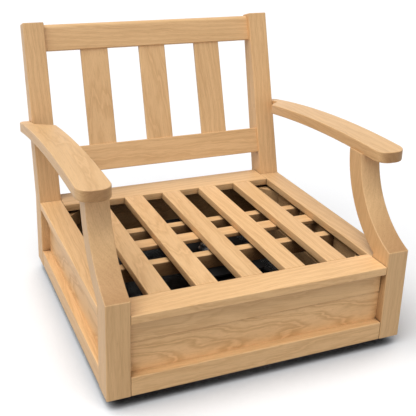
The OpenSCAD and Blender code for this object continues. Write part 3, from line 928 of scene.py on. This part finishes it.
@dataclass
class ArchedArms:
    """The two arms: broad arched boards, rounded in front and notched beside the back posts."""

    shop: Workshop
    over: float = 0.029
    front_w: float = 0.0755
    rear_w: float = 0.075
    front_y: float = 0.077
    nose_r: float = 0.033
    nose_inner_r: float = 0.030
    tail_y: float = 0.722
    tail_r: float = 0.015
    notch_y: float = 0.6547
    notch_run: float = 0.050
    round_over: float = 0.0022
    round_from_deg: float = 40.0
    bend_every: float = 0.03
    nose_inner_steps: int = 10
    nose_steps: int = 12
    tail_steps: int = 6
    left_tone: float = 0.93
    right_tone: float = 0.92

    def outline(self) -> Outline:
        """Draws the right arm from above.

        Returns:
            Its (x, y) points in order.
        """
        half = self.shop.plan.half_w
        out = half + self.over
        front_x, rear_x = out - self.front_w, out - self.rear_w
        quarter = math.pi / 2
        return [
            *arc(
                (front_x + self.nose_inner_r, self.front_y + self.nose_inner_r),
                self.nose_inner_r, -2 * quarter, -quarter, self.nose_inner_steps,
            ),
            *arc(
                (out - self.nose_r, self.front_y + self.nose_r),
                self.nose_r, -quarter, 0.0, self.nose_steps,
            ),
            *arc(
                (out - self.tail_r, self.tail_y - self.tail_r),
                self.tail_r, 0.0, quarter, self.tail_steps,
            ),
            (half, self.tail_y),
            (half, self.notch_y),
            (rear_x, self.notch_y - self.notch_run),
        ]

    def build(self) -> None:
        """Makes both arms."""
        plan = self.shop.plan
        shape = bmesh.new()
        face = shape.faces.new([shape.verts.new((x, y, 0.0)) for x, y in self.outline()])
        grown = bmesh.ops.extrude_face_region(shape, geom=[face])["geom"]
        under = [v for v in grown if isinstance(v, bmesh.types.BMVert)]
        bmesh.ops.translate(shape, vec=(0, 0, -plan.arm_t), verts=under)
        self.shop.ease_edges(shape, self.round_over, self.round_from_deg)
        place = self.front_y + self.bend_every
        while place < self.tail_y:
            bmesh.ops.bisect_plane(
                shape,
                geom=[*shape.verts, *shape.edges, *shape.faces],
                plane_co=(0, place, 0),
                plane_no=(0, 1, 0),
                dist=CUT_TOLERANCE,
            )
            place += self.bend_every
        for vert in shape.verts:
            vert.co.z += plan.arm_top(vert.co.y)
        left = mirrored(shape)
        self.shop.fit(left, "arm_left", Grain.DEPTH, self.left_tone, ease=0.0)
        self.shop.fit(shape, "arm_right", Grain.DEPTH, self.right_tone, ease=0.0)
        log.info("arms: arched boards, notched beside the back posts")


@dataclass
class SlattedBack:
    """The back: a rounded top rail, a lower rail and three flat slats between them."""

    shop: Workshop
    rail_h: float = 0.072
    rail_t: float = 0.018
    lower_up: float = 0.0665
    top_up: float = 0.402
    top_round: float = 0.012
    slat_w: float = 0.0765
    slat_t: float = 0.011
    slat_pitch: float = 0.168
    slat_set: float = 0.004
    into_post: float = 0.009
    round_steps: int = 10
    rail_tone: float = 0.95
    slat_tones: tuple[float, ...] = (0.94, 0.96, 0.93)

    def build(self) -> None:
        """Makes the rails and slats."""
        plan, shop = self.shop.plan, self.shop
        leaning = plan.back_plane()
        reach = plan.back_in + self.into_post
        top = [
            (0.0, self.top_up),
            (self.rail_t, self.top_up),
            (self.rail_t, self.top_up + self.rail_h),
            *arc(
                (self.top_round, self.top_up + self.rail_h - self.top_round),
                self.top_round, math.pi / 2, math.pi, self.round_steps,
            ),
        ]
        upper = shop.across(top, -reach, 2 * reach)
        shop.fit(upper, "top_back_rail", Grain.ACROSS, self.rail_tone, leaning)
        lower = shop.board(
            (-reach, 0.0, self.lower_up), (reach, self.rail_t, self.lower_up + self.rail_h)
        )
        shop.fit(lower, "lower_back_rail", Grain.ACROSS, self.rail_tone, leaning)
        for place, side, tone in zip((-1, 0, 1), ("left", "middle", "right"), self.slat_tones):
            x = place * self.slat_pitch
            slat = shop.board(
                (x - self.slat_w / 2, self.slat_set, self.lower_up + self.rail_h - self.into_post),
                (x + self.slat_w / 2, self.slat_set + self.slat_t, self.top_up + self.into_post),
            )
            shop.fit(slat, f"back_slat_{side}", Grain.LEANING, tone, leaning)
        log.info("back: two rails and three slats")


@dataclass
class SeatDeck:
    """The seat deck: four rails flush with the posts, and five slats between them."""

    shop: Workshop
    front_rear: float = 0.074
    front_set: float = 0.001
    back_lip: float = 0.038
    slat_w: float = 0.052
    slat_tones: tuple[float, ...] = (1.0, 1.03, 0.97, 1.02, 0.98)
    front_tone: float = 1.05
    back_tone: float = 0.99
    right_tone: float = 0.94
    left_tone: float = 1.14

    def build(self) -> None:
        """Makes the rails and the slats."""
        plan, shop = self.shop.plan, self.shop
        low, high = plan.deck_under, plan.deck_h
        back_front = plan.seat_d - self.back_lip
        back_rear = plan.back_rear - plan.upper_rail_set
        front = shop.board(
            (-plan.front_in, self.front_set, low), (plan.front_in, self.front_rear, high)
        )
        shop.fit(front, "deck_front_rail", Grain.ACROSS, self.front_tone)
        back = shop.board((-plan.back_in, back_front, low), (plan.back_in, back_rear, high))
        shop.fit(back, "deck_back_rail", Grain.ACROSS, self.back_tone)
        right = shop.board((plan.back_in, plan.front_post_d, low), (plan.half_w, plan.seat_d, high))
        left = mirrored(right)
        shop.fit(right, "deck_side_rail_right", Grain.DEPTH, self.right_tone)
        shop.fit(left, "deck_side_rail_left", Grain.DEPTH, self.left_tone)
        count = len(self.slat_tones)
        gap = (2 * plan.back_in - count * self.slat_w) / (count + 1)
        for i, tone in enumerate(self.slat_tones):
            x = -plan.back_in + gap + i * (self.slat_w + gap)
            slat = shop.board((x, self.front_rear, low), (x + self.slat_w, back_front, high))
            shop.fit(slat, f"seat_slat_{i + 1}", Grain.DEPTH, tone)
        log.info("seat deck: four rails and %d slats", count)


@dataclass
class PanelledBox:
    """The boxed base: on each side an upper rail, a panel in grooves and a lower rail."""

    shop: Workshop
    rail_tone: float = 1.04
    front_tone: float = 1.07
    left_tone: float = 1.08
    plain_tone: float = 1.0
    panel_figure: float = 0.6

    # The front panel is flat-sawn just beside the heart, so that its rings show as a long flame.
    flame: Cut = Cut((0.0, 0.403, -0.107), (0.0, math.radians(0.8), math.radians(6.0)))

    def side(self, name: str, run: float, turn: Matrix, grain: Grain) -> None:
        """Makes the two rails of one side.

        Args:
            name: the side's name.
            run: the length between its two posts.
            turn: the turn and move from the side's own places to the chair's.
            grain: the direction of the grain of its boards.
        """
        plan, shop = self.shop.plan, self.shop
        upper = shop.board(
            (0.0, plan.upper_rail_set, plan.deck_under - plan.upper_rail_h),
            (run, plan.box_inner, plan.deck_under),
        )
        shop.fit(upper, f"{name}_upper_rail", grain, self.rail_tone, turn)
        lower = shop.board(
            (0.0, plan.lower_rail_set, 0.0), (run, plan.box_inner, plan.lower_rail_h)
        )
        shop.fit(lower, f"{name}_lower_rail", grain, self.rail_tone, turn)

    def build(self, nodes: dict[str, bpy.types.Object]) -> None:
        """Makes the rails of all four sides and dresses their panels.

        Args:
            nodes: the nodes of the frame.
        """
        plan = self.shop.plan
        side_run = plan.seat_d - plan.front_post_d
        for name, run, corner, angle, grain in (
            ("front", 2 * plan.front_in, (-plan.front_in, 0, 0), 0.0, Grain.ACROSS),
            ("back", 2 * plan.back_in, (plan.back_in, plan.back_rear, 0), math.pi, Grain.ACROSS),
            ("right", side_run, (plan.half_w, plan.front_post_d, 0), math.pi / 2, Grain.DEPTH),
            ("left", side_run, (-plan.half_w, plan.seat_d, 0), -math.pi / 2, Grain.DEPTH),
        ):
            turn = Matrix.Translation(corner) @ Matrix.Rotation(angle, 4, "Z")
            self.side(name, run, turn, grain)
        for name, grain, tone, cut in (
            ("front", Grain.ACROSS, self.front_tone, self.flame),
            ("back", Grain.ACROSS, self.plain_tone, None),
            ("left", Grain.DEPTH, self.left_tone, None),
            ("right", Grain.DEPTH, self.plain_tone, None),
        ):
            node = f"{name}_panel"
            finish = self.shop.board_finish(node, grain, tone, self.panel_figure, cut)
            dress(nodes[node], finish)
        log.info("boxed base: rails and panels on four sides")


@dataclass
class Underframe:
    """What carries the slats and the swivel: a batten, two bearers and four corner braces."""

    shop: Workshop
    swivel_y: float = 0.345
    bearer_spread: float = 0.089
    bearer_w: float = 0.024
    bearer_h: float = 0.038
    bearer_drop: float = 0.007
    batten_w: float = 0.040
    batten_t: float = 0.012
    batten_set: float = 0.003
    batten_tone: float = 0.98
    bearer_tone: float = 0.96
    brace_tone: float = 0.9
    plug_tone: float = 0.95

    def build(self, nodes: dict[str, bpy.types.Object]) -> None:
        """Makes the batten and the bearers, and dresses the braces and the arms' plugs.

        Args:
            nodes: the nodes of the frame.
        """
        plan, shop = self.shop.plan, self.shop
        inner = plan.half_w - plan.box_inner
        middle = self.swivel_y - self.batten_set
        batten = shop.board(
            (-inner, middle - self.batten_w / 2, plan.deck_under - self.batten_t),
            (inner, middle + self.batten_w / 2, plan.deck_under),
        )
        shop.fit(batten, "middle_batten", Grain.ACROSS, self.batten_tone, slot="shaded_hardwood")
        top = plan.deck_under - self.bearer_drop
        low = top - self.bearer_h
        for name, side in (("front_bearer", -1), ("rear_bearer", 1)):
            y = self.swivel_y + side * self.bearer_spread
            bearer = shop.board(
                (-inner, y - self.bearer_w / 2, low), (inner, y + self.bearer_w / 2, top)
            )
            shop.fit(bearer, name, Grain.ACROSS, self.bearer_tone, slot="shaded_hardwood")
        for end in ("front", "back"):
            for side in ("left", "right"):
                node = f"corner_brace_{end}_{side}"
                dress(nodes[node], shop.board_finish(node, Grain.ACROSS, self.brace_tone))
        plugs = shop.board_finish("arm_plugs", Grain.LEANING, self.plug_tone)
        dress(nodes["arm_plugs"], plugs)
        log.info("under the seat: batten, bearers and corner braces")


def dress(node: bpy.types.Object, material: bpy.types.Material) -> None:
    """Gives a node of the frame a finish."""
    node.data.materials.clear()
    node.data.materials.append(material)


@dataclass
class SteelSwivel:
    """The swivel and its base: coated plates, arms and ring, plated bolts, nylon glides."""

    coated: tuple[str, ...] = (
        "swivel_upper_plate", "swivel_lower_plate", "floor_ring",
        "base_arm_1", "base_arm_2", "base_arm_3", "base_arm_4",
    )
    plated: tuple[str, ...] = (
        "pivot_bolt", "pivot_washer", "pivot_nut", "plate_screws", "slat_screws", "arm_screws",
        "bearing_balls",
    )
    moulded: tuple[str, ...] = ("glides", "ball_cage")
    turned: tuple[str, ...] = ("pivot_bush",)
    zinc: str = "#c9cace"
    bronze: str = "#b08a4a"

    def build(self, nodes: dict[str, bpy.types.Object]) -> None:
        """Dresses every piece of the swivel.

        Args:
            nodes: the nodes of the frame.
        """
        finishes = (
            (self.coated, PowderCoat().make("black_powder_coat")),
            (self.plated, TurnedMetal(self.zinc).make("zinc_plated_steel")),
            (self.moulded, MouldedNylon().make("natural_nylon")),
            (self.turned, TurnedMetal(self.bronze).make("turned_bronze")),
        )
        for names, material in finishes:
            for name in names:
                dress(nodes[name], material)
        log.info("swivel: plates, pivot, bent arms and floor ring")


# Studio


@dataclass(frozen=True)
class SoftLight:
    """A broad soft light, far away.

    side is how far to the left of the chair's front it stands, height is its height above the
    floor and spread is how wide it looks from the chair, all in degrees. strength is the light
    that it throws on a surface that faces it, as a share of white.
    """

    name: str
    side: float
    height: float
    spread: float
    strength: float
    distance: float = 5.0

    def build(self) -> None:
        """Adds the light."""
        data = bpy.data.lights.new(self.name, "SUN")
        data.angle = math.radians(self.spread)
        data.energy = self.strength * math.pi
        lamp = bpy.data.objects.new(self.name, data)
        azimuth, elevation = math.radians(self.side), math.radians(self.height)
        towards = Vector((
            -math.sin(azimuth) * math.cos(elevation),
            -math.cos(azimuth) * math.cos(elevation),
            math.sin(elevation),
        ))
        lamp.rotation_mode = "QUATERNION"
        lamp.rotation_quaternion = towards.to_track_quat("Z", "Y")
        lamp.location = towards * self.distance
        bpy.context.scene.collection.objects.link(lamp)


@dataclass(frozen=True)
class StudioPaper:
    """Matt white paper on the floor, which keeps the chair's shadow.

    Painted shadow: the paper's colour goes dark where the chair stands close over it, and darkest
    inside the box, where hardly any light gets through the seat.
    """

    half_size: float = 30.0
    roughness: float = 0.9
    specular: float = 0.1
    shade_samples: int = 12
    contact_reach: float = 0.30
    painted_contact_shadow_stops: Stops = (
        (0.08, (0.010, 0.007, 0.004, 1.0)), (0.27, (0.018, 0.012, 0.008, 1.0)),
        (0.34, (0.15, 0.15, 0.155, 1.0)), (0.45, (0.47, 0.48, 0.50, 1.0)),
        (0.58, (0.82, 0.83, 0.85, 1.0)), (0.70, (0.94, 0.945, 0.955, 1.0)),
    )
    cover_reach: float = 1.0
    painted_cover_shadow_stops: Stops = ((0.18, (0.06, 0.045, 0.035, 1.0)), (0.30, WHITE))

    # What the paper throws back on the chair, as a share of how it looks.
    bounced: Colour = (0.33, 0.32, 0.31, 1.0)

    def open_sky(self, tree: bpy.types.NodeTree, reach: float) -> bpy.types.NodeSocket:
        """The share of the sky that a place on the floor sees past what stands within reach."""
        return add_node(
            tree, "ShaderNodeAmbientOcclusion", {"Distance": reach}, samples=self.shade_samples
        ).outputs["AO"]

    def build(self) -> None:
        """Lays the paper."""
        shape = bmesh.new()
        bmesh.ops.create_grid(shape, x_segments=1, y_segments=1, size=self.half_size)
        mesh = bpy.data.meshes.new("studio_floor")
        shape.to_mesh(mesh)
        shape.free()
        floor = bpy.data.objects.new("studio_floor", mesh)
        bpy.context.scene.collection.objects.link(floor)
        material, tree, shader = new_material("studio_paper")
        shader.inputs["Roughness"].default_value = self.roughness
        shader.inputs["Specular IOR Level"].default_value = self.specular
        # Painted shadow: the paper darkens where the chair closes over it, and most inside the box.
        contact = add_node(
            tree, "ShaderNodeValToRGB", {"Fac": self.open_sky(tree, self.contact_reach)}
        )
        set_ramp(contact, self.painted_contact_shadow_stops)
        roofed = self.open_sky(tree, self.cover_reach)
        shadow = toned(tree, contact.outputs["Color"], roofed, self.painted_cover_shadow_stops)
        bounce = add_node(
            tree, "ShaderNodeMix", {"Factor": 1.0, 6: shadow, 7: self.bounced},
            data_type="RGBA", blend_type="MULTIPLY",
        ).outputs[2]
        path = add_node(tree, "ShaderNodeLightPath")
        seen = add_node(
            tree, "ShaderNodeMath",
            {0: path.outputs["Is Camera Ray"], 1: path.outputs["Is Glossy Ray"]},
            operation="MAXIMUM",
        ).outputs[0]
        paper = add_node(
            tree, "ShaderNodeMix", {"Factor": seen, 6: bounce, 7: shadow}, data_type="RGBA"
        ).outputs[2]
        tree.links.new(paper, shader.inputs["Base Color"])
        floor.data.materials.append(material)


@dataclass
class Studio:
    """A pale floor, soft lights and the camera at the photograph's place."""

    camera_at: Point = (-0.71045, -1.25520, 1.00644)
    yaw: float = math.radians(22.5705)
    pitch: float = math.radians(-19.3275)
    roll: float = math.radians(1.3900)
    focal_px: float = 758.97
    centre_px: tuple[float, float] = (190.0, 150.0)
    sensor_mm: float = 36.0
    clip: tuple[float, float] = (0.05, 200.0)
    ambient: float = 0.20
    backdrop: float = 1.0
    paper: StudioPaper = field(default_factory=StudioPaper)
    lights: tuple[SoftLight, ...] = (
        SoftLight("key", side=80.0, height=66.0, spread=60.0, strength=0.93),
        SoftLight("fill", side=10.0, height=18.0, spread=60.0, strength=0.24),
    )

    def camera(self, plan: ChairPlan) -> None:
        """Makes the camera and puts it where the photograph was taken.

        Args:
            plan: the chair's sizes, which say where the builder's places lie in the frame.
        """
        forward = Vector((
            math.sin(self.yaw) * math.cos(self.pitch),
            math.cos(self.yaw) * math.cos(self.pitch),
            math.sin(self.pitch),
        ))
        level = Vector((math.cos(self.yaw), -math.sin(self.yaw), 0.0))
        upright = level.cross(forward)
        right = math.cos(self.roll) * level + math.sin(self.roll) * upright
        up = math.cos(self.roll) * upright - math.sin(self.roll) * level
        data = bpy.data.cameras.new("camera")
        data.sensor_width = self.sensor_mm
        data.lens = self.focal_px / IMAGE_PX * self.sensor_mm
        data.shift_x = (IMAGE_PX / 2 - self.centre_px[0]) / IMAGE_PX
        data.shift_y = (self.centre_px[1] - IMAGE_PX / 2) / IMAGE_PX
        data.clip_start, data.clip_end = self.clip
        camera = bpy.data.objects.new("camera", data)
        turn = Matrix((right, up, -forward)).transposed().to_4x4()
        camera.matrix_world = Matrix.Translation(plan.placed() @ Vector(self.camera_at)) @ turn
        bpy.context.scene.collection.objects.link(camera)
        bpy.context.scene.camera = camera

    def world(self) -> None:
        """Makes a plain even sky that the camera, metal and glass see as white."""
        world = bpy.data.worlds.new("studio")
        bpy.context.scene.world = world
        world.use_nodes = True
        tree = world.node_tree
        tree.nodes.clear()
        path = add_node(tree, "ShaderNodeLightPath")
        straight = add_node(
            tree, "ShaderNodeMath",
            {0: path.outputs["Is Camera Ray"], 1: path.outputs["Is Transmission Ray"]},
            operation="MAXIMUM",
        ).outputs[0]
        seen = add_node(
            tree, "ShaderNodeMath", {0: straight, 1: path.outputs["Is Glossy Ray"]},
            operation="MAXIMUM",
        ).outputs[0]
        light, backdrop = (
            add_node(
                tree, "ShaderNodeBackground", {"Color": WHITE, "Strength": strength}
            ).outputs[0]
            for strength in (self.ambient, self.backdrop)
        )
        mixed = add_node(
            tree, "ShaderNodeMixShader", {0: seen, 1: light, 2: backdrop}
        ).outputs[0]
        add_node(tree, "ShaderNodeOutputWorld", {"Surface": mixed})

    def build(self, plan: ChairPlan) -> None:
        """Sets up the floor, the lights and the camera.

        Args:
            plan: the chair's sizes.
        """
        bpy.context.scene.view_settings.view_transform = "Standard"
        self.world()
        self.paper.build()
        for light in self.lights:
            light.build()
        self.camera(plan)
        log.info("studio: floor, two soft lights and the camera")


def main(nodes: dict[str, bpy.types.Object]) -> None:
    """Builds the looks of the whole chair.

    Args:
        nodes: the nodes of the loaded frame.
    """
    logging.basicConfig(level=logging.INFO, format="%(message)s")
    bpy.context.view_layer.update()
    plan = ChairPlan()
    shop = Workshop(plan)
    SweptFrontPosts(shop).build()
    LeaningBackPosts(shop).build()
    ArchedArms(shop).build()
    SlattedBack(shop).build()
    SeatDeck(shop).build()
    PanelledBox(shop).build(nodes)
    Underframe(shop).build(nodes)
    SteelSwivel().build(nodes)
    Studio().build(plan)
    log.info("boxes of the frame and of the dressed chair written")


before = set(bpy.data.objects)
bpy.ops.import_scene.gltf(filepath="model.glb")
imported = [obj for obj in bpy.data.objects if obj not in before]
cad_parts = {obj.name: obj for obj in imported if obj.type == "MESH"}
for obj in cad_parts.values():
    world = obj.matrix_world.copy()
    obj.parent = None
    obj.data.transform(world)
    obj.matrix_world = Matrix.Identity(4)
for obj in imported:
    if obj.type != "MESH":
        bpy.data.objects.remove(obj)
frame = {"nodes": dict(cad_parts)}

if __name__ == "__main__":
    main(frame["nodes"])
